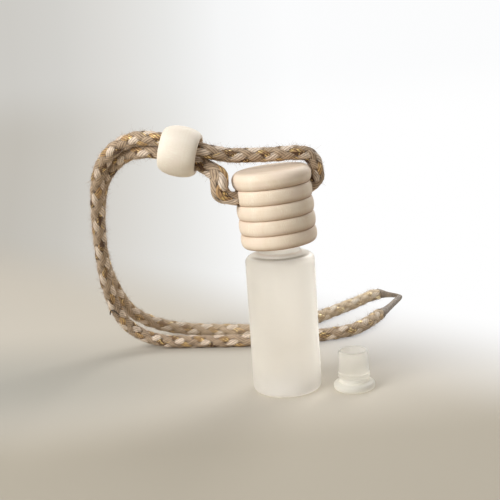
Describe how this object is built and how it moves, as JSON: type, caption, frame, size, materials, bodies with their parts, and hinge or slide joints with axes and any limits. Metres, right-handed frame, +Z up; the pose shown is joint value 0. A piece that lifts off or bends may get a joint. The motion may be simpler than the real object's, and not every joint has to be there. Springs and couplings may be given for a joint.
{
  "type": "perfume vial",
  "caption": "Frosted glass perfume vial standing upright, with a ringed wooden screw cap, a looped cord with a wooden bead through the cap, and a loose inner stopper.",
  "frame": {"origin": "centre of the vial's flat base, on the surface that it stands on", "axes": "+Z up along the vial's axis, +X to the right and +Y to the back as the picture shows it"},
  "size_m": [0.1169, 0.1166, 0.0868],
  "materials": {
    "frosted_glass": "frosted",
    "cap_wood": "turned and bare",
    "insert_plastic": "satin",
    "liner_foam": "fine foam",
    "bead_wood": "turned and bare",
    "stopper_plastic": "milky",
    "braided_cord": "braided yarn",
    "fused_cord": "fused"
  },
  "bodies": {
    "vial": {"vial": "frosted_glass"},
    "cap_rise": {"cap_liner": "liner_foam"},
    "cap": {"wooden_cap": "cap_wood", "thread_insert": "insert_plastic", "cord_in_cap": "braided_cord", "cord_front_strand": "braided_cord", "cord_rear_strand": "braided_cord", "cord_join": "fused_cord"},
    "bead": {"bead": "bead_wood"},
    "stopper": {"stopper": "stopper_plastic"}
  },
  "joints": [
    {"name": "cap_lift", "type": "slide", "parent": "vial", "child": "cap_rise", "axis": [-0.0698, 0, 0.9976], "range_m": [0, 0.0046]},
    {"name": "cap_turn", "type": "hinge", "parent": "cap_rise", "child": "cap", "pos_m": [0, 0, 0.053], "axis": [-0.0698, 0, 0.9976], "range_deg": [0, 540]},
    {"name": "bead_slide", "type": "slide", "parent": "cap", "child": "bead", "axis": [-0.9475, 0.1332, 0.2907], "range_m": [0, 0.0015]},
    {"name": "stopper_lift", "type": "slide", "parent": "vial", "child": "stopper", "axis": [0, 0, 1], "range_m": [0, 0.105]}
  ],
  "couplings": [
    {"joint": "cap_lift", "follows": "cap_turn", "m_per_rad": 0.00047746}
  ]
}
